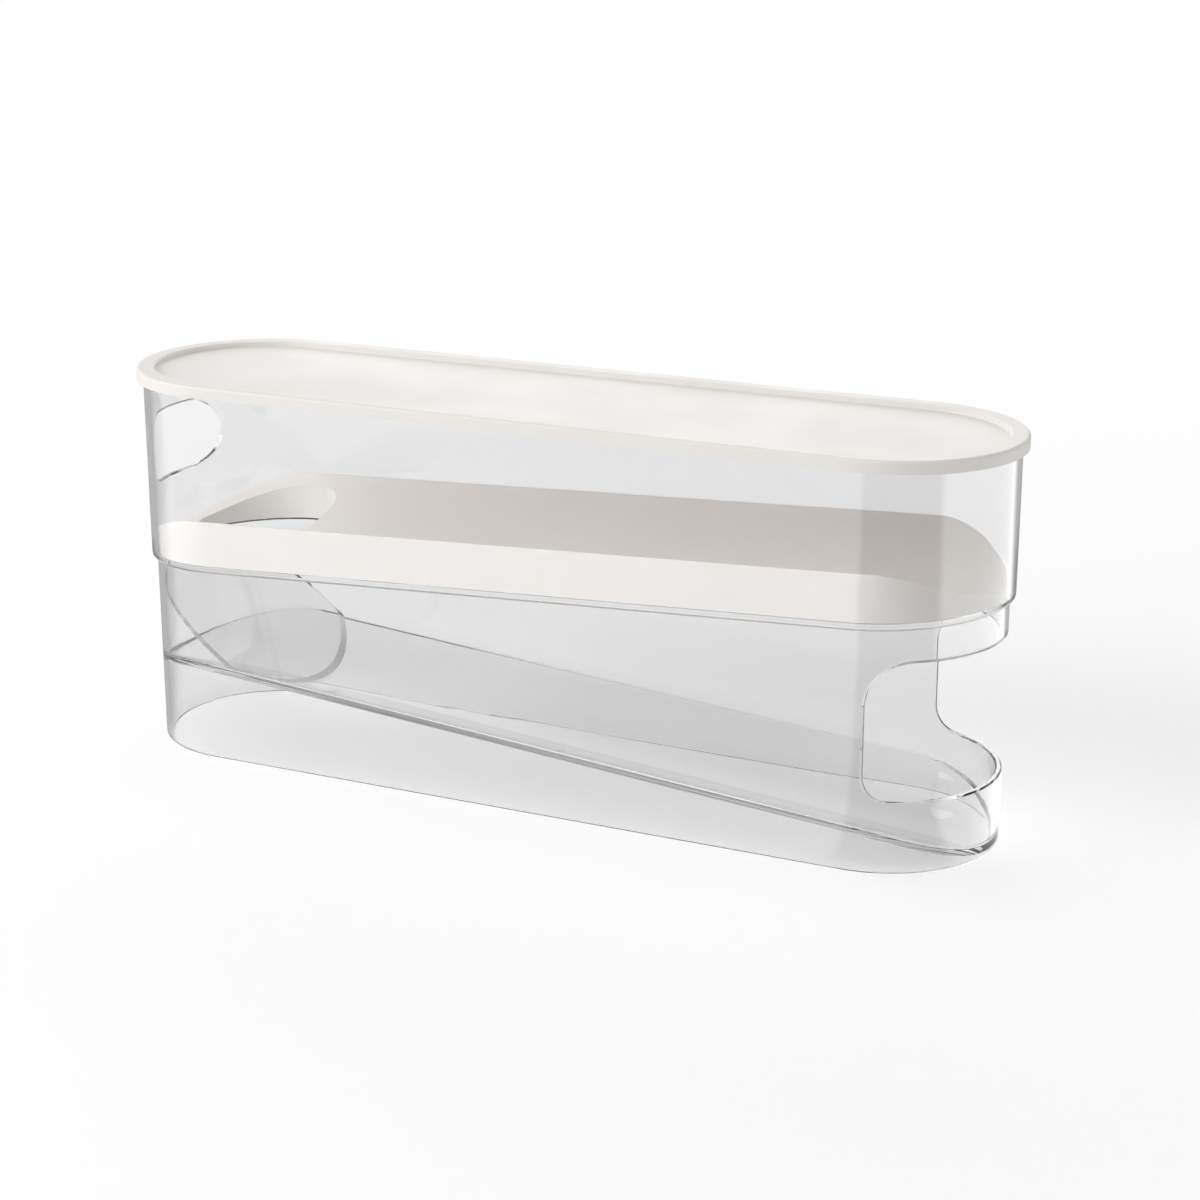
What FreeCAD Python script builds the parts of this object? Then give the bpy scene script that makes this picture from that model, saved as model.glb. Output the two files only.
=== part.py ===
"""Two-tier rolling egg container: clear stepped case, drop guide, white ramp tray and lid.

The frame: +X points to the front mouth, +Z up, the origin is on the table under the middle of the case.
Both tiers are shallow gutters. The upper one falls to the rear, where an egg drops through the tray's
opening onto the guide, and the lower one falls to the front, where it is taken out at the mouth.
"""
import FreeCAD, Part
import math
import operator
import os
import Sketcher
from types import SimpleNamespace

Vector = FreeCAD.Vector

# Driving dimensions, in millimetres and degrees
SIZES = [
    ("case_length", 355.2, "outside length of the upper wall"),
    ("case_width", 91.4, "outside width of the upper wall"),
    ("case_height", 149.4, "height of the wall's top edge"),
    ("wall", 2.4, "thickness of the clear wall"),
    ("step_inset", 2.1, "how far the lower wall stands in from the upper one"),
    ("step_rounding", 1.9, "rounding of the step's outer edge"),
    ("ledge_height", 86.0, "height of the ledge at mid length"),
    ("ledge_thickness", 2.6, "thickness of the ledge"),
    ("ledge_tilt", 2.86, "rise of the ledge to the front"),
    ("floor_tilt", 4.63, "fall of the lower floor to the front"),
    ("floor_radius", 84.0, "radius of the lower gutter"),
    ("floor_thickness", 2.0, "thickness of the lower floor"),
    ("floor_lift", 0.4, "gap between the floor's front end and the table"),
    ("floor_rounding", 2.0, "rounding where the lower floor meets the wall"),
    ("mouth_setback", 36.8, "reach of the mouth back from the front of the lower wall"),
    ("mouth_sill", 27.0, "height of the mouth's lower edge"),
    ("mouth_band", 11.5, "height of the wall left between the mouth and the step"),
    ("mouth_top_radius", 17.0, "radius of the mouth's upper corner"),
    ("mouth_sill_radius", 9.0, "radius of the mouth's lower corner"),
    ("window_width", 52.5, "width of the finger window"),
    ("window_height", 27.4, "height of the finger window"),
    ("window_raise", 3.1, "how far the finger window stands above the middle of the upper rear wall"),
    ("edge_break", 0.6, "flat that breaks the edges of the mouth and the finger window"),
    ("guide_tilt", 36.9, "slope of the drop guide"),
    ("guide_thickness", 2.0, "thickness of the drop guide"),
    ("guide_drop", 1.0, "gap from the ledge down to the guide's top"),
    ("guide_clearance", 0.2, "gap between the guide and the case"),
    ("tray_clearance", 0.5, "gap between the tray and the case wall"),
    ("tray_wall", 2.0, "thickness of the tray's skirt and gutter"),
    ("tray_radius", 71.0, "radius of the upper gutter"),
    ("tray_lip", 4.0, "height of the gutter's lowest line above the ledge"),
    ("tray_land", 1.0, "width of the flat rim along the tray's straight sides"),
    ("drop_land", 7.0, "band of tray left around the drop opening"),
    ("drop_reach", 16.0, "reach of the opening forward of the rear end's centre"),
    ("drop_corner", 9.0, "corner radius of the drop opening"),
    ("lid_clearance", 0.4, "gap between the lid and the case wall"),
    ("lid_skirt", 2.0, "thickness of the lid's skirt"),
    ("lid_overlap", 2.2, "reach of the skirt below the case's top edge"),
    ("lid_rim", 2.6, "thickness of the rim over the case's top edge"),
    ("lid_plug", 1.8, "thickness of the wall round the recessed panel"),
    ("lid_recess", 2.0, "depth of the recess in the lid's top"),
    ("lid_panel", 2.0, "thickness of the recessed panel"),
    ("lid_rounding", 1.2, "rounding of the lid's outer top edge"),
    ("lid_break", 0.6, "flat that breaks the recess's upper edge"),
]

doc = FreeCAD.newDocument("egg_container")
sheet = doc.addObject("Spreadsheet::Sheet", "sizes")
for row, (alias, size, meaning) in enumerate(SIZES, start=1):
    sheet.set(f"A{row}", meaning)
    sheet.set(f"B{row}", str(size))
    sheet.setAlias(f"B{row}", alias)
doc.recompute()


class Size:
    """A dimension: the expression that ties a feature to the sheet, and the number it gives now."""

    def __init__(self, expression, number):
        self.expression = expression
        self.number = number

    def __str__(self):
        return self.expression

    def __add__(self, other):
        return combine("+", operator.add, self, other)

    def __sub__(self, other):
        return combine("-", operator.sub, self, other)

    def __mul__(self, other):
        return combine("*", operator.mul, self, other)

    def __rmul__(self, other):
        return combine("*", operator.mul, other, self)

    def __truediv__(self, other):
        return combine("/", operator.truediv, self, other)

    def __neg__(self):
        return -1 * self


def as_size(item):
    return item if isinstance(item, Size) else Size(f"({item})", item)


def combine(sign, operation, first, second):
    """A size worked out from two sizes, or from a size and a plain number."""
    first = as_size(first)
    second = as_size(second)
    return Size(f"({first} {sign} {second})", operation(first.number, second.number))


def tangent(angle):
    return Size(f"tan({angle})", math.tan(math.radians(angle.number)))


def cosine(angle):
    return Size(f"cos({angle})", math.cos(math.radians(angle.number)))


def square_root(size):
    return Size(f"sqrt({size})", math.sqrt(size.number))


given = SimpleNamespace(**{alias: Size(f"sizes.{alias}", float(sheet.get(alias))) for alias, _, _ in SIZES})
NOTHING = as_size(0)


def inset(outline, distance):
    """The outline, a pair of length and width, moved in by a distance on every side."""
    return tuple(side - 2 * distance for side in outline)


def gutter_rise(radius, offset):
    """How far a gutter rises from its lowest line at an offset to the side."""
    return radius - square_root(radius * radius - offset * offset)


# Racetrack outlines, seen from above
UPPER = (given.case_length, given.case_width)
UPPER_INSIDE = inset(UPPER, given.wall)
LOWER = inset(UPPER, given.step_inset)
LOWER_INSIDE = inset(LOWER, given.wall)
FLOOR = inset(LOWER, given.wall / 2)
GUIDE = inset(LOWER_INSIDE, given.guide_clearance)
TRAY = inset(UPPER_INSIDE, given.tray_clearance)
TRAY_INSIDE = inset(TRAY, given.tray_wall)
LID_INSIDE = inset(UPPER, -given.lid_clearance)
LID = inset(LID_INSIDE, -given.lid_skirt)
LID_PLUG = inset(UPPER_INSIDE, given.lid_clearance)
LID_RECESS = inset(LID_PLUG, given.lid_plug)

# Heights and places that follow from the driving dimensions
END_CENTRE = (given.case_length - given.case_width) / 2
REAR_WALL = LOWER_INSIDE[0] / 2
MOUTH_BACK = LOWER[0] / 2 - given.mouth_setback
STEP_LEVEL = given.ledge_height - given.ledge_thickness
MOUTH_TOP = STEP_LEVEL + MOUTH_BACK * tangent(given.ledge_tilt) - given.mouth_band
LEDGE_REAR = given.ledge_height - UPPER_INSIDE[0] / 2 * tangent(given.ledge_tilt)
WINDOW_LEVEL = (given.case_height + LEDGE_REAR) / 2 + given.window_raise
FLOOR_FRONT = given.floor_lift + given.floor_thickness / cosine(given.floor_tilt)
FLOOR_LEVEL = FLOOR_FRONT + REAR_WALL * tangent(given.floor_tilt)
GUIDE_LEVEL = given.ledge_height - REAR_WALL * tangent(given.ledge_tilt) - given.guide_drop
TRAY_LEVEL = given.ledge_height + given.tray_lip / cosine(given.ledge_tilt)
TRAY_RISE = gutter_rise(given.tray_radius, TRAY[1] / 2 - given.tray_land)
TRAY_RIM = TRAY_LEVEL + TRAY_RISE / cosine(given.ledge_tilt)
SKIRT_LEVEL = given.case_height - given.lid_overlap
LID_TOP = given.case_height + given.lid_rim
REACH = 1.5 * given.case_length
BREADTH = 2 * given.case_width

FROM_ABOVE = FreeCAD.Rotation()
FROM_SIDE = FreeCAD.Rotation(Vector(1, 0, 0), 90)
FROM_FRONT = FreeCAD.Rotation(Vector(1, 1, 1), 120)
HALF_TURN = math.pi
QUARTER_TURN = math.pi / 2
TOUCHING = 0.01


def arc(x, y, radius, start, end):
    circle = Part.Circle(Vector(x, y, 0), Vector(0, 0, 1), radius)
    return Part.ArcOfCircle(circle, start, end)


def line(x0, y0, x1, y1):
    return Part.LineSegment(Vector(x0, y0, 0), Vector(x1, y1, 0))


def bind(sketch, name, kind, points, size):
    """Add a dimension to a sketch and tie it to the sheet."""
    index = sketch.addConstraint(Sketcher.Constraint(kind, *points, size.number))
    sketch.renameConstraint(index, name)
    sketch.setExpression(f"Constraints.{name}", str(size))


def join(sketch, kind, *pairs):
    """Join pieces of an outline, the end of one to the start of the next."""
    for first, second in pairs:
        sketch.addConstraint(Sketcher.Constraint(kind, first, 2, second, 1))


def draw_racetrack(sketch, outline):
    """Two half circles joined by two straight sides, centred on the sketch's origin."""
    length, width = outline
    radius = width.number / 2
    centre = length.number / 2 - radius
    sketch.addGeometry(arc(centre, 0, radius, -QUARTER_TURN, QUARTER_TURN))
    sketch.addGeometry(line(centre, radius, -centre, radius))
    sketch.addGeometry(arc(-centre, 0, radius, QUARTER_TURN, QUARTER_TURN + HALF_TURN))
    sketch.addGeometry(line(-centre, -radius, centre, -radius))
    join(sketch, "Tangent", (0, 1), (1, 2), (2, 3), (3, 0))
    sketch.addConstraint(Sketcher.Constraint("Horizontal", 1))
    sketch.addConstraint(Sketcher.Constraint("Symmetric", 0, 3, 2, 3, -1, 1))
    bind(sketch, "end_radius", "Radius", (0,), width / 2)
    bind(sketch, "end_spacing", "DistanceX", (2, 3, 0, 3), length - width)


def add_sketch(name, turn):
    sketch = doc.addObject("Sketcher::SketchObject", name)
    sketch.Placement = FreeCAD.Placement(Vector(), turn)
    return sketch


def extrude(name, sketch, depth, both_ways=False):
    solid = doc.addObject("Part::Extrusion", name)
    solid.Base = sketch
    solid.DirMode = "Normal"
    solid.Solid = True
    solid.Symmetric = both_ways
    solid.setExpression("LengthFwd", str(depth))
    return solid


def racetrack_block(name, outline, height):
    """An upright block with a racetrack outline, standing on the table."""
    sketch = add_sketch(f"{name}_outline", FROM_ABOVE)
    draw_racetrack(sketch, outline)
    return extrude(name, sketch, height)


def placement(x, y, z, turn):
    """An expression for a place, turned about the axis across the case."""
    return f"placement(vector({x}; {y}; {z}); rotation(vector(0; 1; 0); {turn}))"


def slope(level, tilt):
    """An expression for a plane that crosses mid length at a level and rises to the front by a tilt."""
    return placement(0, 0, level, -tilt)


def add_box(name, height, plane, x, z):
    """A wide flat block, in a plane's own frame."""
    block = doc.addObject("Part::Box", name)
    block.setExpression("Length", str(REACH))
    block.setExpression("Width", str(BREADTH))
    block.setExpression("Height", str(height))
    block.setExpression("Placement", f"{plane} * {placement(x, -BREADTH / 2, z, 0)}")
    return block


def block_below(name, level, tilt):
    """Everything below a tilted plane."""
    return add_box(name, REACH, slope(level, tilt), -REACH / 2, -REACH)


def gutter(name, radius, level, tilt, thickness=NOTHING):
    """A lying cylinder whose lowest line runs along a tilted plane, or below it by a thickness."""
    cylinder = doc.addObject("Part::Cylinder", name)
    cylinder.setExpression("Radius", str(radius + thickness))
    cylinder.setExpression("Height", str(REACH))
    cylinder.setExpression("Placement", f"{slope(level, tilt)} * {placement(-REACH / 2, 0, radius, 90)}")
    return cylinder


def cut(name, base, tool):
    solid = doc.addObject("Part::Cut", name)
    solid.Base = base
    solid.Tool = tool
    return solid


def common(name, *shapes):
    solid = doc.addObject("Part::MultiCommon", name)
    solid.Shapes = list(shapes)
    return solid


def fuse(name, *shapes):
    solid = doc.addObject("Part::MultiFuse", name)
    solid.Shapes = list(shapes)
    solid.Refine = True
    return solid


def on_outline(point, *outlines):
    """Whether a point lies above or below one of the racetrack outlines."""
    for length, width in outlines:
        along = max(abs(point.x) - (length.number - width.number) / 2, 0)
        if abs(math.hypot(along, point.y) - width.number / 2) < TOUCHING:
            return True
    return False


def at_height(point, level, tilt=NOTHING):
    """Whether a point lies in a plane that crosses mid length at a level."""
    return abs(point.z - level.number - point.x * tangent(tilt).number) < TOUCHING


def height_above_floor(point):
    """How far a point lies from the lower gutter's surface, towards the gutter's axis."""
    tilt = math.radians(given.floor_tilt.number)
    radius = given.floor_radius.number
    rise = (point.z - FLOOR_LEVEL.number) * math.cos(tilt) + point.x * math.sin(tilt)
    return radius - math.hypot(radius - rise, point.y)


def wanted_edges(shape, wanted):
    """The numbers of the edges whose every point is wanted."""
    found = []
    for index, edge in enumerate(shape.Edges, start=1):
        span = edge.LastParameter - edge.FirstParameter
        points = [edge.valueAt(edge.FirstParameter + share * span) for share in (0, 0.25, 0.5, 0.75, 1)]
        if all(wanted(point) for point in points):
            found.append(index)
    return found


def soften(kind, name, base, amount, wanted):
    """Fillet or chamfer the edges of a shape whose every point is wanted."""
    doc.recompute()
    solid = doc.addObject(f"Part::{kind}", name)
    solid.Base = base
    solid.Edges = [(index, amount.number, amount.number) for index in wanted_edges(base.Shape, wanted)]
    return solid


def round_along_floor(name, base, outline, clearance):
    """Round the edge where an upright outline meets the lower gutter, or a surface inside it."""
    def wanted(point):
        height = height_above_floor(point)
        return on_outline(point, outline) and abs(height - clearance.number) < TOUCHING

    return soften("Fillet", name, base, given.floor_rounding - clearance, wanted)


def add_mouth():
    """The front opening, seen from the side: open to the front, with a large and a small rounded corner."""
    sketch = add_sketch("mouth_outline", FROM_SIDE)
    back = MOUTH_BACK.number
    front = REACH.number / 2
    sill = given.mouth_sill.number
    top = MOUTH_TOP.number
    high = given.mouth_top_radius.number
    low = given.mouth_sill_radius.number
    sketch.addGeometry(arc(back + low, sill + low, low, HALF_TURN, HALF_TURN + QUARTER_TURN))
    sketch.addGeometry(line(back + low, sill, front, sill))
    sketch.addGeometry(line(front, sill, front, top))
    sketch.addGeometry(line(front, top, back + high, top))
    sketch.addGeometry(arc(back + high, top - high, high, QUARTER_TURN, HALF_TURN))
    sketch.addGeometry(line(back, top - high, back, sill + low))
    join(sketch, "Tangent", (0, 1), (3, 4), (4, 5), (5, 0))
    join(sketch, "Coincident", (1, 2), (2, 3))
    for level in (1, 3):
        sketch.addConstraint(Sketcher.Constraint("Horizontal", level))
    for upright in (2, 5):
        sketch.addConstraint(Sketcher.Constraint("Vertical", upright))
    bind(sketch, "low", "Radius", (0,), given.mouth_sill_radius)
    bind(sketch, "high", "Radius", (4,), given.mouth_top_radius)
    bind(sketch, "back", "DistanceX", (-1, 1, 5, 1), MOUTH_BACK)
    bind(sketch, "front", "DistanceX", (-1, 1, 2, 1), REACH / 2)
    bind(sketch, "sill", "DistanceY", (-1, 1, 1, 1), given.mouth_sill)
    bind(sketch, "opening", "DistanceY", (1, 1, 3, 2), MOUTH_TOP - given.mouth_sill)
    return extrude("mouth", sketch, BREADTH, both_ways=True)


def add_finger_window():
    """A slot with round ends through the rear of the upper wall."""
    sketch = add_sketch("window_outline", FROM_FRONT)
    draw_racetrack(sketch, (given.window_width, given.window_height))
    sketch.setExpression("Placement.Base.x", str(-given.case_length))
    sketch.setExpression("Placement.Base.z", str(WINDOW_LEVEL))
    return extrude("window", sketch, given.case_length - END_CENTRE)


def add_drop_outline(name, grow):
    """The tray's drop opening, seen from above, or the same grown on every side."""
    sketch = add_sketch(name, FROM_ABOVE)
    end_radius = TRAY[1] / 2 - given.drop_land + grow
    front_edge = given.drop_reach + grow - END_CENTRE
    corner_radius = given.drop_corner + grow
    radius = end_radius.number
    centre = -END_CENTRE.number
    front = front_edge.number
    corner = corner_radius.number
    sketch.addGeometry(arc(centre, 0, radius, QUARTER_TURN, QUARTER_TURN + HALF_TURN))
    sketch.addGeometry(line(centre, -radius, front - corner, -radius))
    sketch.addGeometry(arc(front - corner, corner - radius, corner, -QUARTER_TURN, 0))
    sketch.addGeometry(line(front, corner - radius, front, radius - corner))
    sketch.addGeometry(arc(front - corner, radius - corner, corner, 0, QUARTER_TURN))
    sketch.addGeometry(line(front - corner, radius, centre, radius))
    join(sketch, "Tangent", (0, 1), (1, 2), (2, 3), (3, 4), (4, 5), (5, 0))
    sketch.addConstraint(Sketcher.Constraint("PointOnObject", 0, 3, -1))
    sketch.addConstraint(Sketcher.Constraint("Horizontal", 1))
    sketch.addConstraint(Sketcher.Constraint("Vertical", 3))
    sketch.addConstraint(Sketcher.Constraint("Equal", 2, 4))
    bind(sketch, "end_radius", "Radius", (0,), end_radius)
    bind(sketch, "corner", "Radius", (2,), corner_radius)
    bind(sketch, "centre", "DistanceX", (-1, 1, 0, 3), -END_CENTRE)
    bind(sketch, "front", "DistanceX", (-1, 1, 3, 1), front_edge)
    return sketch


def make_walls():
    """Racetrack wall that steps in below a sloped ledge, with the step's outer edge rounded."""
    lower_block = racetrack_block("lower_block", LOWER, given.case_height)
    under_step = cut("under_step", block_below("below_step", STEP_LEVEL, given.ledge_tilt), lower_block)
    stepped = cut("stepped", racetrack_block("upper_block", UPPER, given.case_height), under_step)

    def on_step_edge(point):
        return on_outline(point, UPPER) and at_height(point, STEP_LEVEL, given.ledge_tilt)

    outside = soften("Fillet", "outside", stepped, given.step_rounding, on_step_edge)
    upper_room = cut("upper_room", racetrack_block("upper_inside", UPPER_INSIDE, 2 * given.case_height),
                     block_below("below_ledge", given.ledge_height, given.ledge_tilt))
    lower_room = racetrack_block("lower_inside", LOWER_INSIDE, 2 * given.case_height)
    return cut("walls", cut("upper_walls", outside, upper_room), lower_room)


def make_floor():
    """The lower gutter, which runs into the middle of the wall on every side."""
    top = gutter("floor_top", given.floor_radius, FLOOR_LEVEL, -given.floor_tilt)
    under = gutter("floor_under", given.floor_radius, FLOOR_LEVEL, -given.floor_tilt, given.floor_thickness)
    slab = common("floor_slab", racetrack_block("floor_block", FLOOR, given.ledge_height), under)
    return cut("floor", slab, top)


def make_case():
    """Clear stepped wall and gutter floor in one moulding, with the front mouth and the finger window."""
    closed = fuse("closed_case", make_walls(), make_floor())
    smooth = round_along_floor("smooth_case", closed, LOWER_INSIDE, NOTHING)
    opened = cut("opened_case", cut("case_with_mouth", smooth, add_mouth()), add_finger_window())

    def on_mouth_edge(point):
        inside = given.mouth_sill.number - TOUCHING < point.z < MOUTH_TOP.number + TOUCHING
        return inside and point.x > MOUTH_BACK.number - TOUCHING and on_outline(point, LOWER, LOWER_INSIDE)

    def on_window_edge(point):
        inside = abs(point.z - WINDOW_LEVEL.number) < given.window_height.number / 2 + TOUCHING
        return inside and point.x < -END_CENTRE.number - TOUCHING and on_outline(point, UPPER, UPPER_INSIDE)

    broken_mouth = soften("Chamfer", "broken_mouth", opened, given.edge_break, on_mouth_edge)
    case = soften("Chamfer", "case", broken_mouth, given.edge_break, on_window_edge)
    case.Label = "clear_case"
    return case


def make_drop_guide():
    """Flat sloping plate at the rear of the lower tier, trimmed to the wall and to the gutter."""
    seat = gutter("guide_seat", given.floor_radius, FLOOR_LEVEL, -given.floor_tilt, -given.guide_clearance)
    space = common("guide_space", racetrack_block("guide_block", GUIDE, given.ledge_height), seat)
    room = round_along_floor("guide_room", space, GUIDE, given.guide_clearance)
    rear_edge = placement(-REAR_WALL, 0, GUIDE_LEVEL, given.guide_tilt)
    plate = add_box("guide_plate", given.guide_thickness, rear_edge, -REACH / 4, -given.guide_thickness)
    guide = common("guide", plate, room)
    guide.Label = "drop_guide"
    return guide


def make_ramp_tray():
    """White gutter on a skirt that stands on the ledge, hollow below, with the drop opening at the rear."""
    below_rim = block_below("below_rim", TRAY_RIM, given.ledge_tilt)
    trimmed = common("trimmed", racetrack_block("tray_block", TRAY, given.case_height), below_rim)
    raised = cut("raised", trimmed, block_below("below_tray", given.ledge_height, given.ledge_tilt))
    gutter_top = gutter("tray_gutter", given.tray_radius, TRAY_LEVEL, given.ledge_tilt)
    solid_tray = cut("solid_tray", raised, gutter_top)
    underside = gutter("tray_underside", given.tray_radius, TRAY_LEVEL, given.ledge_tilt, given.tray_wall)
    inside = cut("tray_hollow", racetrack_block("tray_inside", TRAY_INSIDE, given.case_height), underside)
    collar = extrude("collar", add_drop_outline("collar_outline", given.tray_wall), given.case_height)
    hollow_tray = cut("hollow_tray", solid_tray, cut("hollow_round_collar", inside, collar))
    opening = extrude("drop_opening", add_drop_outline("drop_outline", NOTHING), given.case_height)
    tray = cut("tray", hollow_tray, opening)
    tray.Label = "ramp_tray"
    return tray


def body_sketch(body, name, outline, level):
    """A racetrack sketch in a body, level with the table and raised to a height."""
    sketch = body.newObject("Sketcher::SketchObject", name)
    table = next(plane for plane in body.Origin.OriginFeatures if plane.Role == "XY_Plane")
    sketch.AttachmentSupport = [(table, "")]
    sketch.MapMode = "FlatFace"
    sketch.setExpression("AttachmentOffset.Base.z", str(level))
    draw_racetrack(sketch, outline)
    return sketch


def make_lid():
    """Cap with a skirt outside the wall and a recessed panel, whose wall plugs the inside."""
    body = doc.addObject("PartDesign::Body", "lid")

    def add_feature(kind, name, outline, level, depth):
        feature = body.newObject(f"PartDesign::{kind}", name)
        feature.Profile = body_sketch(body, f"{name}_outline", outline, level)
        feature.setExpression("Length", str(depth))
        return feature

    def soften_top(kind, name, outline, property_name, amount):
        def wanted(point):
            return on_outline(point, outline) and at_height(point, LID_TOP)

        doc.recompute()
        base = body.Tip
        feature = body.newObject(f"PartDesign::{kind}", name)
        feature.Base = (base, [f"Edge{index}" for index in wanted_edges(base.Shape, wanted)])
        feature.setExpression(property_name, str(amount))

    panel_depth = given.lid_recess + given.lid_panel
    add_feature("Pad", "lid_block", LID, SKIRT_LEVEL, given.lid_overlap + given.lid_rim)
    inside = add_feature("Pocket", "lid_inside", LID_INSIDE, SKIRT_LEVEL, given.lid_overlap)
    inside.Reversed = True
    add_feature("Pad", "lid_plug_block", LID_PLUG, LID_TOP - panel_depth, panel_depth - given.lid_rim / 2)
    add_feature("Pocket", "lid_recess_cut", LID_RECESS, LID_TOP, given.lid_recess)
    soften_top("Fillet", "lid_outer_rounding", LID, "Radius", given.lid_rounding)
    soften_top("Chamfer", "lid_inner_break", LID_RECESS, "Size", given.lid_break)
    body.Label = "lid"
    return body


pieces = [make_case(), make_drop_guide(), make_ramp_tray(), make_lid()]
doc.recompute()

failed = [item.Name for item in doc.Objects if "Invalid" in item.State or "Error" in item.State]
if failed:
    raise RuntimeError(f"these objects failed: {failed}")
for piece in pieces:
    if piece.Shape.isNull() or not piece.Shape.isValid() or len(piece.Shape.Solids) != 1:
        raise RuntimeError(f"{piece.Label} isn't one sound solid")

os.makedirs("parts", exist_ok=True)
for piece in pieces:
    piece.Shape.exportStep(f"parts/{piece.Label}.step")
    print(f"{piece.Label}: {piece.Shape.Volume / 1000:.1f} cm3, {len(piece.Shape.Faces)} faces")
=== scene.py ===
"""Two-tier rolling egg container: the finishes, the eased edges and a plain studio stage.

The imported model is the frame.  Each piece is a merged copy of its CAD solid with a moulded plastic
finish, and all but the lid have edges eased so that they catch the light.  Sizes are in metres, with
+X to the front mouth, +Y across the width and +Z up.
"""
import math

import bpy
from bpy.props import FloatProperty, FloatVectorProperty, PointerProperty
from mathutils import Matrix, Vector


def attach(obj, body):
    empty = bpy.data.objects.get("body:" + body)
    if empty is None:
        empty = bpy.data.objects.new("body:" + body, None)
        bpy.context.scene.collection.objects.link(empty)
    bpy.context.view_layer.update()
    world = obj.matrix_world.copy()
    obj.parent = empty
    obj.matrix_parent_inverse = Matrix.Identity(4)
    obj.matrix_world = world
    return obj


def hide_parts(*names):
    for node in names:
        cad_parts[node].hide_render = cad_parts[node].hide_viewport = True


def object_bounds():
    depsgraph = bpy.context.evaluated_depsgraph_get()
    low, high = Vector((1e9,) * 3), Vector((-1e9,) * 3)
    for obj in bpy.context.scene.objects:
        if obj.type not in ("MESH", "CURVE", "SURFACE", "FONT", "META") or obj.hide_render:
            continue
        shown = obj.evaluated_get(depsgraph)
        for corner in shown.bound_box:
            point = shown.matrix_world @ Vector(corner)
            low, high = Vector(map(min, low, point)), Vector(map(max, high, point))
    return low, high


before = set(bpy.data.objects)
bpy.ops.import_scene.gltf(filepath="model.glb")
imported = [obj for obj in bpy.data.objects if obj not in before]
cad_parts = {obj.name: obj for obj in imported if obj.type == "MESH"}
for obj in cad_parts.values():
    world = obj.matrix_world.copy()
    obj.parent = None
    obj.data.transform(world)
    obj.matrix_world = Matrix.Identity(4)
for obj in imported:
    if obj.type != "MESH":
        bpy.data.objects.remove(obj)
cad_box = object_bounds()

bl_info = {
    "name": "Egg container",
    "version": (1, 0, 0),
    "blender": (4, 5, 0),
    "location": "View3D > Sidebar > Egg container",
    "description": "Finishes the clear case, drop guide, ramp tray and lid, and sets a plain studio stage",
    "category": "Object",
}

MILLIMETRE = 0.001

# Half the distance between the centres of the round ends, which all the walls share
END_CENTRE = cad_box[1][0] - cad_box[1][1]

# Mesh: how near points are one, and the bend up to which a face is flat, in degrees
SAME_POINT = 0.002 * MILLIMETRE
FLAT_BEND = 0.05

# Eased edges: rows of faces across a rounding, and the bend from which an edge is eased, in degrees
EASE_ROWS = 3
EASE_BEND = 40

# Bend up to which faces are shaded as one, in degrees
CLEAR_BEND = 24
WHITE_BEND = 30

# Cosine from which two directions count as one, and how far upright faces and wall faces may lean
SAME_WAY = 0.99
UPRIGHT_LEAN = 0.01
WALL_LEAN = 0.1

# Height up to which a face lies on the table
ON_TABLE = 0.01 * MILLIMETRE

# Clear plastic: waves and haze drawn out along the length, haze finer than the waves, and its spread
WAVE_DRAW = (0.4, 1, 1)
HAZE_SHARE = 0.3
HAZE_SPREAD = (0.35, 0.75)

# How level the drop guide's faces are where the bond begins and where it is full
BOND_LEVEL = (0.82, 0.87)

# White plastic: flow drawn out along the length and finer than the drift, and the spread of the drift
FLOW_DRAW = (0.12, 1, 1)
FLOW_SHARE = 0.5
DRIFT_SPREAD = (0.3, 0.7)
SHEEN_DRIFT = 0.6
SHEEN_GRAIN = 0.4
WHITE_REFRACTION = 1.48

# Floor: how far it lies below the case, and the distances over which it fades to white
FLOOR_DROP = 0.2 * MILLIMETRE
FLOOR_FADE = (0.3, 0.9)

# Painted shade under the case, seen through its plastic: distances from the middle line over which it
# fades, and the share left beyond them
UNDER_CASE_SHADE_FADE = (0.03, 0.07)
UNDER_CASE_SHADE_BEYOND = 0.35

# Painted reflections of light and dark cards: brightness of the floor where it is mirrored, round from -X
# by way of -Y and +X, as turn and grey
PAINTED_CARD_REFLECTIONS = (
    (0.012, 0.5), (0.026, 1.1), (0.228, 1.1), (0.24, 0.0),
    (0.418, 0.0), (0.436, 1.6), (0.68, 1.6), (0.7, 0.5),
)

# Distances from their middle over which these painted card reflections begin
PAINTED_CARD_FADE = (0.045, 0.055)

# Surround: heights, as sines, over which it changes where it is mirrored, on faces and for the inside
MIRRORED_HEIGHT = (0.35, 0.8)
MIRRORED_OVERHEAD = 0.5
LIT_HEIGHT = (0.4, 0.9)
INSIDE_HEIGHT = (0.05, 0.4)

# The point that the lamps look at
LAMP_AIM = Vector((0, 0, 0.08))


# Shader graphs

class Reading:
    """A number that varies over a surface.  Arithmetic on it adds Math nodes."""

    def __init__(self, graph, socket):
        self.graph = graph
        self.socket = socket

    def combine(self, operation, first, second):
        node = self.graph.node("ShaderNodeMath", {"operation": operation}, {0: first, 1: second})
        return Reading(self.graph, node.outputs[0])

    def __add__(self, other):
        return self.combine("ADD", self, other)

    def __radd__(self, other):
        return self.combine("ADD", other, self)

    def __sub__(self, other):
        return self.combine("SUBTRACT", self, other)

    def __rsub__(self, other):
        return self.combine("SUBTRACT", other, self)

    def __mul__(self, other):
        return self.combine("MULTIPLY", self, other)

    def __rmul__(self, other):
        return self.combine("MULTIPLY", other, self)

    def at_most(self, other):
        return self.combine("MINIMUM", self, other)

    def at_least(self, other):
        return self.combine("MAXIMUM", self, other)

    def unsigned(self):
        return self.at_least(0 - self)


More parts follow.
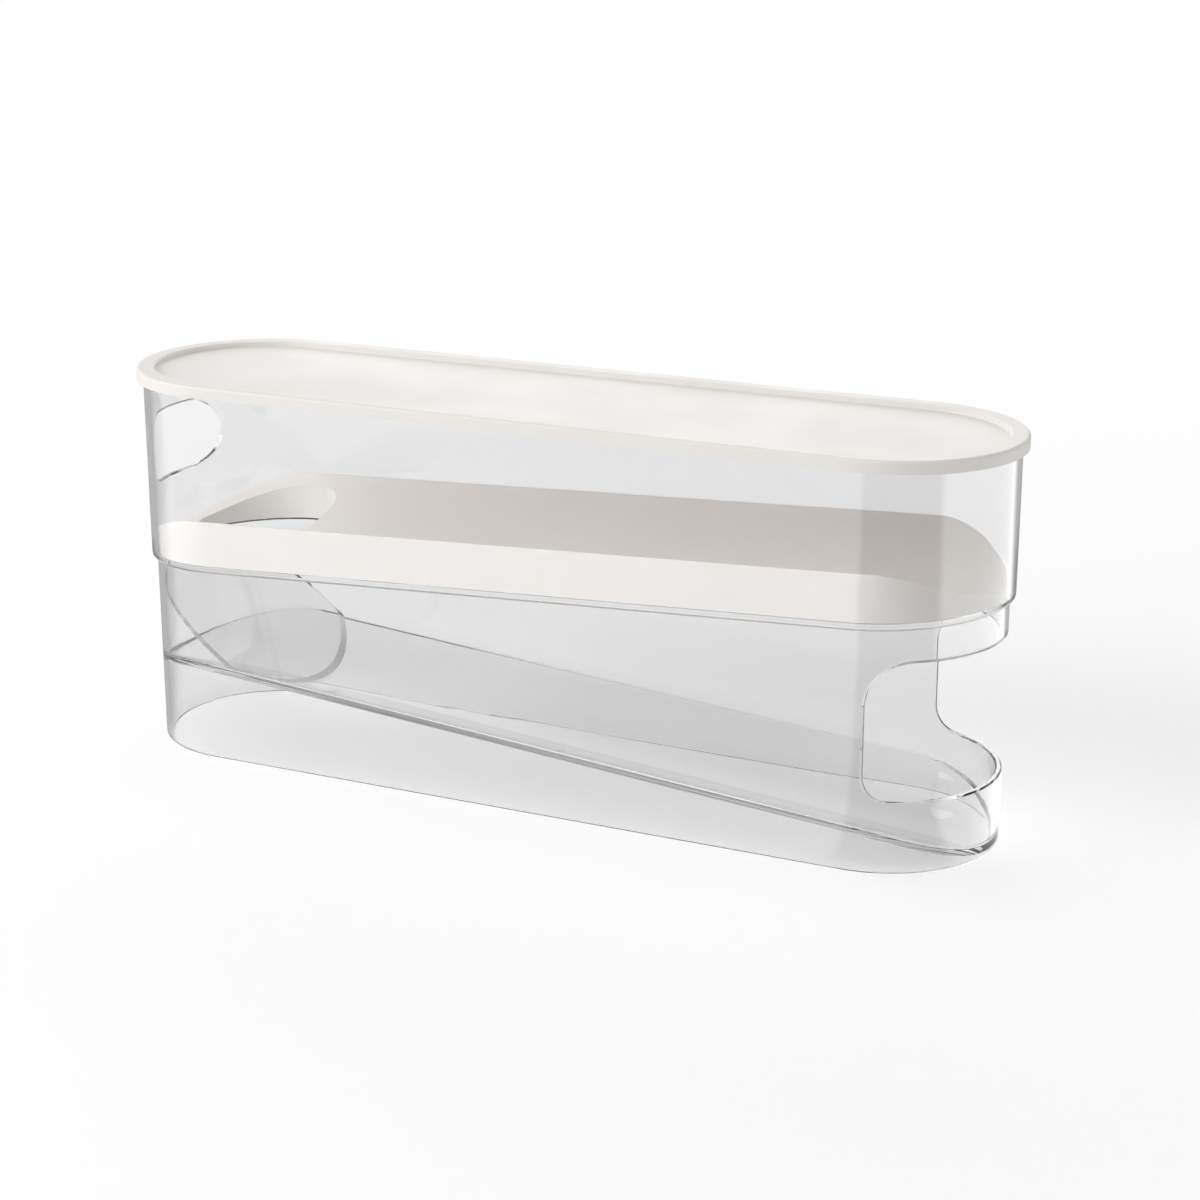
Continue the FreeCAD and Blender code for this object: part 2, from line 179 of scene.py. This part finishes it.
class Graph:
    """A node tree, cleared and then filled by one method."""

    def __init__(self, owner):
        owner.use_nodes = True
        self.tree = owner.node_tree
        self.tree.nodes.clear()

    def node(self, kind, settings, sockets):
        """Add a node, apply its settings, then give its sockets their values or links."""
        node = self.tree.nodes.new(kind)
        for name, value in settings.items():
            if name == "stops":
                self.set_stops(node.color_ramp, value)
            else:
                setattr(node, name, value)
        for key, value in sockets.items():
            socket = node.inputs[key] if isinstance(key, int) else self.named(node.inputs, key)
            if isinstance(value, Reading):
                value = value.socket
            if isinstance(value, bpy.types.NodeSocket):
                self.tree.links.new(value, socket)
            else:
                socket.default_value = value
        return node

    @staticmethod
    def set_stops(ramp, stops):
        """Give a ramp its grey stops, as pairs of place and brightness."""
        while len(ramp.elements) < len(stops):
            ramp.elements.new(1)
        for element, (place, grey) in zip(ramp.elements, stops):
            element.position = place
            element.color = (grey, grey, grey, 1)

    @staticmethod
    def named(sockets, key):
        """A socket by its identifier, which is unlike for each kind of data, or else by its name."""
        for socket in sockets:
            if socket.identifier == key:
                return socket
        return sockets[key]

    def reading(self, node, name):
        return Reading(self, self.named(node.outputs, name))

    def place(self):
        """Coordinates that stay with the piece."""
        return self.node("ShaderNodeTexCoord", {}, {}).outputs["Object"]

    def facing(self):
        """Direction that the surface faces, as the piece's own coordinates give it."""
        return self.node("ShaderNodeTexCoord", {}, {}).outputs["Normal"]

    def stretched(self, scale):
        """The piece's coordinates, stretched by three factors."""
        mapping = self.node("ShaderNodeMapping", {}, {"Vector": self.place(), "Scale": scale})
        return mapping.outputs["Vector"]

    def parts(self, vector):
        """A vector's three coordinates."""
        node = self.node("ShaderNodeSeparateXYZ", {}, {"Vector": vector})
        return [self.reading(node, axis) for axis in "XYZ"]

    def distance(self, vector, point):
        node = self.node("ShaderNodeVectorMath", {"operation": "DISTANCE"}, {0: vector, 1: point})
        return self.reading(node, "Value")

    def noise(self, vector, size, detail):
        """Noise from 0 to 1 whose lumps are about as wide as the size."""
        sockets = {"Vector": vector, "Scale": 1 / size, "Detail": detail, "Roughness": 0.5}
        node = self.node("ShaderNodeTexNoise", {}, sockets)
        return self.reading(node, "Fac")

    def spread(self, value, low, high, bottom, top):
        """The value's range from low to high, smoothly spread from bottom to top."""
        sockets = {"Value": value, "From Min": low, "From Max": high, "To Min": bottom, "To Max": top}
        node = self.node("ShaderNodeMapRange", {"interpolation_type": "SMOOTHSTEP"}, sockets)
        return self.reading(node, "Result")

    def tint(self, factor, first, second):
        """A colour between two others."""
        sockets = {"Factor_Float": factor, "A_Color": (*first, 1), "B_Color": (*second, 1)}
        node = self.node("ShaderNodeMix", {"data_type": "RGBA"}, sockets)
        return self.named(node.outputs, "Result_Color")

    def bump(self, height, distance):
        """Direction of the surface, tilted by a relief."""
        node = self.node("ShaderNodeBump", {}, {"Strength": 1, "Distance": distance, "Height": height})
        return node.outputs["Normal"]

    def path(self, name):
        """What is known of the light's path, such as whether it has been mirrored."""
        return self.reading(self.node("ShaderNodeLightPath", {}, {}), name)

    def seen(self):
        """1 for rays that show the background: straight, mirrored or through clear plastic."""
        straight = self.path("Is Camera Ray")
        mirrored = self.path("Is Glossy Ray")
        through = self.path("Is Transmission Ray")
        return (straight + mirrored + through).at_most(1)

    def matt(self, colour):
        return self.node("ShaderNodeBsdfDiffuse", {}, {"Color": (*colour, 1)}).outputs["BSDF"]

    def glow(self, strength):
        return self.node("ShaderNodeEmission", {}, {"Strength": strength}).outputs["Emission"]

    def mix(self, factor, first, second):
        """A shader between two others."""
        node = self.node("ShaderNodeMixShader", {}, {0: factor, 1: first, 2: second})
        return node.outputs["Shader"]

    def surface(self, shader):
        self.node("ShaderNodeOutputMaterial", {}, {"Surface": shader})


# Finishes

def scaled(colour, share):
    return tuple(part * share for part in colour)


def clear_moulding(name, settings, bond):
    """Clear glossy moulding: slightly wavy faces, faint flow haze, a matt bond on faces that lie on
    the floor, and grey where the light runs deep."""
    material = bpy.data.materials.new(name)
    graph = Graph(material)
    drawn = graph.stretched(WAVE_DRAW)
    waves = graph.noise(drawn, settings.wave_size, detail=1)
    haze = graph.noise(drawn, settings.wave_size * HAZE_SHARE, detail=4)
    roughness = graph.spread(haze, *HAZE_SPREAD, settings.polish, settings.haze)
    if bond:
        level = graph.parts(graph.facing())[2].unsigned()
        roughness = roughness + graph.spread(level, *BOND_LEVEL, 0, bond)
    gloss = graph.node("ShaderNodeBsdfPrincipled", {}, {
        "Base Color": graph.tint(haze, settings.colour, settings.haze_colour),
        "Roughness": roughness,
        "IOR": settings.refraction,
        "Transmission Weight": 1.0,
        "Normal": graph.bump(waves, settings.wave_depth),
    })
    passing = graph.node("ShaderNodeBsdfTransparent", {}, {"Color": (*settings.shadow_colour, 1)})
    depth = graph.node("ShaderNodeVolumeAbsorption", {}, {
        "Color": (*settings.depth_colour, 1),
        "Density": settings.depth_density,
    })
    graph.node("ShaderNodeOutputMaterial", {}, {
        "Surface": graph.mix(graph.path("Is Shadow Ray"), gloss.outputs["BSDF"], passing.outputs["BSDF"]),
        "Volume": depth.outputs["Volume"],
    })
    return material


def satin_moulding(name, colour, settings):
    """Opaque satin moulding: fine matt grain, broad drift of sheen and tone, and a faint flow along
    its length."""
    material = bpy.data.materials.new(name)
    graph = Graph(material)
    place = graph.place()
    grain = graph.noise(place, settings.grain_size, detail=2)
    drift = graph.noise(place, settings.drift_size, detail=3)
    flow = graph.noise(graph.stretched(FLOW_DRAW), settings.drift_size * FLOW_SHARE, detail=2)
    relief = grain * settings.grain_depth + flow * settings.flow_depth
    tone = graph.spread(drift, *DRIFT_SPREAD, 0, 1)
    sheen = drift * SHEEN_DRIFT + grain * SHEEN_GRAIN
    gloss = graph.node("ShaderNodeBsdfPrincipled", {}, {
        "Base Color": graph.tint(tone, colour, scaled(colour, 1 - settings.drift_tone)),
        "Roughness": graph.spread(sheen, *DRIFT_SPREAD, settings.polish, settings.matt),
        "IOR": WHITE_REFRACTION,
        "Normal": graph.bump(relief, 1),
    })
    graph.surface(gloss.outputs["BSDF"])
    return material


# Pieces

def deselect():
    """Leave nothing selected and no edit mode open."""
    if bpy.context.object and bpy.context.object.mode != "OBJECT":
        bpy.ops.object.mode_set(mode="OBJECT")
    bpy.ops.object.select_all(action="DESELECT")


def select_only(piece):
    deselect()
    piece.select_set(True)
    bpy.context.view_layer.objects.active = piece


def merged_copy(node, name):
    """A copy of a CAD node's mesh with its loose triangles joined and its flat faces made whole."""
    select_only(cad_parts[node])
    bpy.ops.object.duplicate(linked=False)
    piece = bpy.context.object
    piece.name = name
    piece.data.name = name
    piece.data.materials.clear()
    bpy.ops.mesh.customdata_custom_splitnormals_clear()
    bpy.ops.object.mode_set(mode="EDIT")
    bpy.ops.mesh.select_all(action="SELECT")
    bpy.ops.mesh.remove_doubles(threshold=SAME_POINT)
    bpy.ops.mesh.dissolve_limited(angle_limit=math.radians(FLAT_BEND))
    bpy.ops.object.mode_set(mode="OBJECT")
    return piece


def ease_edges(piece, width):
    """Round every sharp edge."""
    select_only(piece)
    bevel = piece.modifiers.new("eased_edges", "BEVEL")
    bevel.limit_method = "ANGLE"
    bevel.angle_limit = math.radians(EASE_BEND)
    bevel.width = width
    bevel.segments = EASE_ROWS
    bevel.use_clamp_overlap = True
    bevel.harden_normals = False
    bpy.ops.object.modifier_apply(modifier=bevel.name)


def outward(place):
    """Level direction from the case's middle line to a place on a wall."""
    middle = min(max(place.x, -END_CENTRE), END_CENTRE)
    return Vector((place.x - middle, place.y, 0)).normalized()


def ease_base(piece, side, width):
    """Round one edge of the ring that the case stands on: outer for side 1, inner for side -1."""
    select_only(piece)
    mesh = piece.data
    ring = set()
    wall = set()
    for face in mesh.polygons:
        if face.normal.z < -SAME_WAY and face.center.z < ON_TABLE:
            ring.update(face.edge_keys)
        elif abs(face.normal.z) < WALL_LEAN and outward(face.center).dot(face.normal) * side > 0:
            wall.update(face.edge_keys)
    if not ring & wall:
        raise RuntimeError("the case has no ring to stand on")
    bpy.ops.object.mode_set(mode="EDIT")
    bpy.ops.mesh.select_mode(type="EDGE")
    bpy.ops.mesh.select_all(action="DESELECT")
    bpy.ops.object.mode_set(mode="OBJECT")
    for edge in mesh.edges:
        edge.select = edge.key in ring & wall
    bpy.ops.object.mode_set(mode="EDIT")
    bpy.ops.mesh.bevel(offset=width, segments=EASE_ROWS, affect="EDGES")
    bpy.ops.object.mode_set(mode="OBJECT")


def smooth(piece, angle):
    """Smooth shading that keeps edges sharper than the angle, led by the larger faces."""
    select_only(piece)
    bpy.ops.object.shade_smooth_by_angle(angle=math.radians(angle))
    weighted = piece.modifiers.new("weighted_normals", "WEIGHTED_NORMAL")
    weighted.keep_sharp = True
    bpy.ops.object.modifier_apply(modifier=weighted.name)


def true_walls(piece):
    """Exact normals for the straight sides and round ends, so that lines seen through them stay whole."""
    mesh = piece.data
    normals = [corner.vector.copy() for corner in mesh.corner_normals]
    for face in mesh.polygons:
        if abs(face.normal.z) > UPRIGHT_LEAN:
            continue
        for corner in face.loop_indices:
            away = outward(mesh.vertices[mesh.loops[corner].vertex_index].co)
            facing = away if away.dot(face.normal) > 0 else -away
            if facing.dot(face.normal) > SAME_WAY:
                normals[corner] = facing
    mesh.normals_split_custom_set(normals)


def finish_piece(piece, node, body, material):
    """Give a piece its finish and let it stand for its CAD node."""
    piece.data.materials.append(material)
    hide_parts(node)
    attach(piece, body)
    deselect()


# What a user may change

class EGG_PG_clear(bpy.types.PropertyGroup):
    """Clear plastic of the case and the drop guide."""

    colour: FloatVectorProperty(
        name="Colour", description="Colour of the clear plastic's faces",
        subtype="COLOR", size=3, min=0, max=1, default=(0.912, 0.912, 0.914))
    haze_colour: FloatVectorProperty(
        name="Haze colour", description="Colour where the moulding is faintly hazy",
        subtype="COLOR", size=3, min=0, max=1, default=(0.892, 0.892, 0.895))
    shadow_colour: FloatVectorProperty(
        name="Shadow colour", description="Light that each face lets through to what is in its shadow",
        subtype="COLOR", size=3, min=0, max=1, default=(0.995, 0.995, 0.995))
    depth_colour: FloatVectorProperty(
        name="Depth colour", description="Colour of light that has run deep in the plastic",
        subtype="COLOR", size=3, min=0, max=1, default=(0.5, 0.5, 0.505))
    depth_density: FloatProperty(
        name="Depth density", description="How quickly the plastic takes up light, per metre",
        min=0, default=3)
    refraction: FloatProperty(
        name="Refraction", description="Refractive index of the plastic", min=1, max=2, default=1.52)
    polish: FloatProperty(
        name="Polish", description="Roughness where the plastic is clearest",
        subtype="FACTOR", min=0, max=1, default=0.004)
    haze: FloatProperty(
        name="Haze", description="Roughness where the plastic is faintly hazy",
        subtype="FACTOR", min=0, max=1, default=0.03)
    bond: FloatProperty(
        name="Bond", description="Roughness where the drop guide is bonded to the lower floor",
        subtype="FACTOR", min=0, max=1, default=0.3)
    wave_size: FloatProperty(
        name="Wave size", description="Width of the moulding's faint waves",
        subtype="DISTANCE", unit="LENGTH", min=0.001, default=0.03)
    wave_depth: FloatProperty(
        name="Wave depth", description="Depth of the moulding's faint waves",
        subtype="DISTANCE", unit="LENGTH", min=0, default=0.00003)


class EGG_PG_white(bpy.types.PropertyGroup):
    """White satin plastic of the lid and the ramp tray."""

    lid_colour: FloatVectorProperty(
        name="Lid colour", description="Colour of the lid",
        subtype="COLOR", size=3, min=0, max=1, default=(0.832, 0.802, 0.766))
    tray_colour: FloatVectorProperty(
        name="Tray colour", description="Colour of the ramp tray",
        subtype="COLOR", size=3, min=0, max=1, default=(0.872, 0.84, 0.81))
    polish: FloatProperty(
        name="Polish", description="Lowest roughness of the satin",
        subtype="FACTOR", min=0, max=1, default=0.36)
    matt: FloatProperty(
        name="Matt", description="Highest roughness of the satin",
        subtype="FACTOR", min=0, max=1, default=0.5)
    grain_size: FloatProperty(
        name="Grain size", description="Width of the matt grain",
        subtype="DISTANCE", unit="LENGTH", min=0.0001, default=0.0007)
    grain_depth: FloatProperty(
        name="Grain depth", description="Depth of the matt grain",
        subtype="DISTANCE", unit="LENGTH", min=0, default=0.000012)
    flow_depth: FloatProperty(
        name="Flow depth", description="Depth of the faint flow along the moulding",
        subtype="DISTANCE", unit="LENGTH", min=0, default=0.00003)
    drift_size: FloatProperty(
        name="Drift size", description="Width of the broad drift of tone and sheen",
        subtype="DISTANCE", unit="LENGTH", min=0.001, default=0.05)
    drift_tone: FloatProperty(
        name="Drift tone", description="How much darker the drift of tone gets",
        subtype="FACTOR", min=0, max=1, default=0.02)


class EGG_PG_edges(bpy.types.PropertyGroup):
    """How far the pieces' edges are eased."""

    base: FloatProperty(
        name="Base", description="Rounding of the outer edge that the case stands on",
        subtype="DISTANCE", unit="LENGTH", min=0, default=0.0005)
    base_inside: FloatProperty(
        name="Base inside", description="Rounding of the inner edge, which the lower floor comes close to",
        subtype="DISTANCE", unit="LENGTH", min=0, default=0.0003)
    tray: FloatProperty(
        name="Tray", description="Rounding of the ramp tray's rim, skirt and drop opening",
        subtype="DISTANCE", unit="LENGTH", min=0, default=0.00035)
    guide: FloatProperty(
        name="Guide", description="Rounding of the drop guide's edges",
        subtype="DISTANCE", unit="LENGTH", min=0, default=0.0003)


class EGG_PG_stage(bpy.types.PropertyGroup):
    """The floor, the lamps and the camera."""

    floor_colour: FloatVectorProperty(
        name="Floor colour", description="Colour of the floor",
        subtype="COLOR", size=3, min=0, max=1, default=(0.9, 0.9, 0.905))
    shadow_share: FloatProperty(
        name="Shadow share", description="Share of the floor's shading that shows",
        subtype="FACTOR", min=0, max=1, default=0.85)
    floor_lift: FloatProperty(
        name="Floor lift", description="Brightness that brings the unshaded floor up to white",
        subtype="FACTOR", min=0, max=1, default=0.36)
    # Painted shade: how much dimmer the floor under the case is drawn where it is seen through clear
    # plastic
    under_case_shade: FloatProperty(
        name="Painted_under_case_shade", description="How much dimmer the near floor is through clear plastic",
        subtype="FACTOR", min=0, max=1, default=0.19)
    # Middle of the painted reflections of light and dark cards
    painted_card_centre: FloatProperty(
        name="Card centre", description="The middle that the mirrored light and dark cards fan out from",
        subtype="DISTANCE", unit="LENGTH", default=0.13)
    floor_size: FloatProperty(
        name="Floor size", description="Length of the floor's sides",
        subtype="DISTANCE", unit="LENGTH", min=1, default=8)
    surround: FloatProperty(
        name="Surround", description="Strength of the light from all round", min=0, default=0.86)
    overhead: FloatProperty(
        name="Overhead", description="Strength of the surround straight overhead", min=0, default=0.12)
    inside: FloatProperty(
        name="Inside", description="Extra light from all round that reaches the inside through the walls",
        min=0, default=2.1)
    key: FloatProperty(
        name="Key lamp", description="Power of the large lamp at the front left, in watts",
        min=0, default=21)
    top: FloatProperty(
        name="Top lamp", description="Power of the large lamp overhead, in watts", min=0, default=4)
    back: FloatProperty(
        name="Back lamp", description="Power of the large lamp behind, in watts", min=0, default=4)
    lens: FloatProperty(
        name="Lens", description="Focal length of the camera, in millimetres", min=1, default=76.365)
    camera_place: FloatVectorProperty(
        name="Camera place", description="Where the camera stands",
        subtype="TRANSLATION", unit="LENGTH", size=3, default=(0.412415, -0.837624, 0.361142))
    camera_aim: FloatVectorProperty(
        name="Camera aim", description="The point that the camera looks at",
        subtype="TRANSLATION", unit="LENGTH", size=3, default=(0.01712, 0, 0.073211))


class EGG_PG_container(bpy.types.PropertyGroup):
    """All that a user may change."""

    clear: PointerProperty(type=EGG_PG_clear, name="Clear plastic", description="Case and drop guide")
    white: PointerProperty(type=EGG_PG_white, name="White plastic", description="Lid and ramp tray")
    edges: PointerProperty(type=EGG_PG_edges, name="Edges", description="Eased edges")
    stage: PointerProperty(type=EGG_PG_stage, name="Stage", description="Floor, lamps and camera")


# Operators

class EGG_OT_clear_case(bpy.types.Operator):
    """Dress the clear case: eased base, smooth walls and glossy clear plastic"""

    bl_idname = "egg_container.clear_case"
    bl_label = "Clear case"

    def execute(self, context):
        settings = context.scene.egg_container
        piece = merged_copy("clear_case", "clear_case_moulding")
        ease_base(piece, 1, settings.edges.base)
        ease_base(piece, -1, settings.edges.base_inside)
        smooth(piece, CLEAR_BEND)
        true_walls(piece)
        clear = clear_moulding("case_clear", settings.clear, 0)
        finish_piece(piece, "clear_case", "case", clear)
        return {"FINISHED"}


class EGG_OT_drop_guide(bpy.types.Operator):
    """Dress the drop guide: eased edges and glossy clear plastic"""

    bl_idname = "egg_container.drop_guide"
    bl_label = "Drop guide"

    def execute(self, context):
        settings = context.scene.egg_container
        piece = merged_copy("drop_guide", "drop_guide_plate")
        ease_edges(piece, settings.edges.guide)
        smooth(piece, CLEAR_BEND)
        true_walls(piece)
        clear = clear_moulding("guide_clear", settings.clear, settings.clear.bond)
        finish_piece(piece, "drop_guide", "case", clear)
        return {"FINISHED"}


class EGG_OT_ramp_tray(bpy.types.Operator):
    """Dress the ramp tray: eased rim, skirt and drop opening, and white satin plastic"""

    bl_idname = "egg_container.ramp_tray"
    bl_label = "Ramp tray"

    def execute(self, context):
        settings = context.scene.egg_container
        piece = merged_copy("ramp_tray", "ramp_tray_moulding")
        ease_edges(piece, settings.edges.tray)
        smooth(piece, WHITE_BEND)
        white = satin_moulding("tray_white", settings.white.tray_colour, settings.white)
        finish_piece(piece, "ramp_tray", "tray", white)
        return {"FINISHED"}


class EGG_OT_lid(bpy.types.Operator):
    """Dress the lid: joined faces, smooth rim and white satin plastic"""

    bl_idname = "egg_container.lid"
    bl_label = "Lid"

    def execute(self, context):
        settings = context.scene.egg_container
        piece = merged_copy("lid", "lid_moulding")
        smooth(piece, WHITE_BEND)
        white = satin_moulding("lid_white", settings.white.lid_colour, settings.white)
        finish_piece(piece, "lid", "lid", white)
        return {"FINISHED"}


class EGG_OT_stage(bpy.types.Operator):
    """Set the floor, the surround, the lamps and the camera"""

    bl_idname = "egg_container.stage"
    bl_label = "Stage"

    def execute(self, context):
        settings = context.scene.egg_container.stage
        set_floor(settings)
        set_surround(context.scene, settings)
        set_lamp("key_lamp", place=(-1.445, -1.213, 1.0), size=1.2, power=settings.key)
        set_lamp("top_lamp", place=(-0.1, 0.1, 1.6), size=0.9, power=settings.top)
        set_lamp("back_lamp", place=(-0.5, 1.4, 0.8), size=1.0, power=settings.back)
        set_camera(context.scene, settings)
        context.scene.view_settings.view_transform = "Standard"
        paths = context.scene.cycles
        paths.max_bounces = 32
        paths.diffuse_bounces = 12
        paths.glossy_bounces = 24
        paths.transmission_bounces = 32
        paths.transparent_max_bounces = 32
        return {"FINISHED"}


# Stage

def near_floor(graph, flat, settings):
    """The floor near the case: its shading, lifted to white, with painted shade under the case where it is
    seen through the case's plastic.
    """
    along, across, _ = graph.parts(flat)
    beyond = along.unsigned() - END_CENTRE
    aside = graph.node("ShaderNodeCombineXYZ", {}, {"X": beyond.at_least(0), "Y": across})
    reach = graph.distance(aside.outputs["Vector"], (0, 0, 0))
    # Painted shade under the case, only for the floor seen through clear plastic
    shaded_under_case = graph.path("Is Transmission Ray") * graph.spread(reach, *UNDER_CASE_SHADE_FADE, 1, UNDER_CASE_SHADE_BEYOND)
    bright = graph.glow(settings.floor_lift)
    dimmed = graph.glow(settings.floor_lift - settings.under_case_shade)
    shadow = graph.matt(scaled(settings.floor_colour, settings.shadow_share))
    near = graph.node("ShaderNodeAddShader", {}, {0: shadow, 1: graph.mix(shaded_under_case, bright, dimmed)})
    return near.outputs["Shader"]


def painted_card_reflections(graph, flat, settings):
    """Painted reflections of light and dark cards that fan out from a middle."""
    along, across, _ = graph.parts(flat)
    turn = across.combine("ARCTAN2", across, along - settings.painted_card_centre)
    sector = turn * (0.5 / math.pi) + 0.5
    cards = graph.node("ShaderNodeValToRGB", {"stops": PAINTED_CARD_REFLECTIONS}, {"Fac": sector})
    painted_reflection = graph.node("ShaderNodeEmission", {}, {"Color": cards.outputs["Color"], "Strength": 1})
    return painted_reflection.outputs["Emission"]


def floor_finish(name, settings):
    """Pale and matt where it lights the pieces.  Where it is seen it keeps the shadow and fades to
    white further out, and where the pieces mirror it, it shows painted reflections of light and dark
    cards."""
    material = bpy.data.materials.new(name)
    graph = Graph(material)
    flat = graph.stretched((1, 1, 0))
    far = graph.spread(graph.distance(flat, (0, 0, 0)), *FLOOR_FADE, 0, 1)
    shown = graph.mix(far, near_floor(graph, flat, settings), graph.glow(1))
    away = graph.distance(flat, (settings.painted_card_centre, 0, 0))
    mirrored = graph.path("Glossy Depth").at_most(1) * graph.spread(away, *PAINTED_CARD_FADE, 0, 1)
    # Where the pieces mirror the floor, painted card reflections show in place of its shading
    seen = graph.mix(mirrored, shown, painted_card_reflections(graph, flat, settings))
    graph.surface(graph.mix(graph.seen(), graph.matt(settings.floor_colour), seen))
    return material


def set_floor(settings):
    """A pale floor, just below the case."""
    deselect()
    bpy.ops.mesh.primitive_plane_add(size=settings.floor_size, location=(0, 0, -FLOOR_DROP))
    floor = bpy.context.object
    floor.name = "floor"
    bpy.ops.object.transform_apply(location=True, rotation=True, scale=True)
    floor.data.materials.append(floor_finish("floor_white", settings))


def set_surround(scene, settings):
    """White all round, dimmer overhead where clear plastic and gloss mirror it."""
    world = bpy.data.worlds.new("surround")
    scene.world = world
    graph = Graph(world)
    direction = graph.node("ShaderNodeTexCoord", {}, {}).outputs["Generated"]
    height = graph.parts(direction)[2]
    mirrored = graph.spread(height, *MIRRORED_HEIGHT, 1, MIRRORED_OVERHEAD)
    lit = graph.spread(height, *LIT_HEIGHT, settings.surround, settings.overhead)
    low = graph.spread(height, *INSIDE_HEIGHT, 1, 0)
    inside = graph.path("Diffuse Depth").at_most(1) * low * settings.inside
    straight = graph.path("Is Camera Ray")
    seen = graph.seen()
    strength = straight + (seen - straight) * mirrored * (inside + 1) + (1 - seen) * lit
    glow = graph.node("ShaderNodeBackground", {}, {"Color": (1, 1, 1, 1), "Strength": strength})
    graph.node("ShaderNodeOutputWorld", {}, {"Surface": glow.outputs["Background"]})


def set_lamp(name, place, size, power):
    """A large square lamp that looks at the pieces."""
    deselect()
    bpy.ops.object.light_add(type="AREA", location=place)
    lamp = bpy.context.object
    lamp.name = name
    lamp.rotation_euler = (LAMP_AIM - Vector(place)).to_track_quat("-Z", "Y").to_euler()
    lamp.data.size = size
    lamp.data.energy = power
    lamp.visible_camera = False
    lamp.visible_transmission = False


def set_camera(scene, settings):
    """The camera at the viewing angle."""
    deselect()
    place = Vector(settings.camera_place)
    aim = Vector(settings.camera_aim)
    turn = (aim - place).to_track_quat("-Z", "Y").to_euler()
    bpy.ops.object.camera_add(location=place, rotation=turn)
    camera = bpy.context.object
    camera.name = "camera"
    camera.data.sensor_width = 36
    camera.data.lens = settings.lens
    scene.camera = camera


# Panel

class EGG_PT_container(bpy.types.Panel):
    """Lists the pieces, the stage and what may be changed"""

    bl_idname = "EGG_PT_container"
    bl_label = "Egg container"
    bl_space_type = "VIEW_3D"
    bl_region_type = "UI"
    bl_category = "Egg container"

    def draw(self, context):
        settings = context.scene.egg_container
        for operator in OPERATORS:
            self.layout.operator(operator.bl_idname)
        for group in (settings.clear, settings.white, settings.edges, settings.stage):
            box = self.layout.box()
            for name in group.bl_rna.properties.keys():
                if name not in {"rna_type", "name"}:
                    box.prop(group, name)


OPERATORS = (EGG_OT_clear_case, EGG_OT_drop_guide, EGG_OT_ramp_tray, EGG_OT_lid, EGG_OT_stage)
GROUPS = (EGG_PG_clear, EGG_PG_white, EGG_PG_edges, EGG_PG_stage, EGG_PG_container)


def register():
    for item in GROUPS + OPERATORS + (EGG_PT_container,):
        bpy.utils.register_class(item)
    bpy.types.Scene.egg_container = PointerProperty(type=EGG_PG_container)


def unregister():
    del bpy.types.Scene.egg_container
    for item in reversed(GROUPS + OPERATORS + (EGG_PT_container,)):
        bpy.utils.unregister_class(item)


def main():
    register()
    bpy.ops.egg_container.clear_case()
    bpy.ops.egg_container.drop_guide()
    bpy.ops.egg_container.ramp_tray()
    bpy.ops.egg_container.lid()
    bpy.ops.egg_container.stage()


if __name__ == "__main__":
    main()
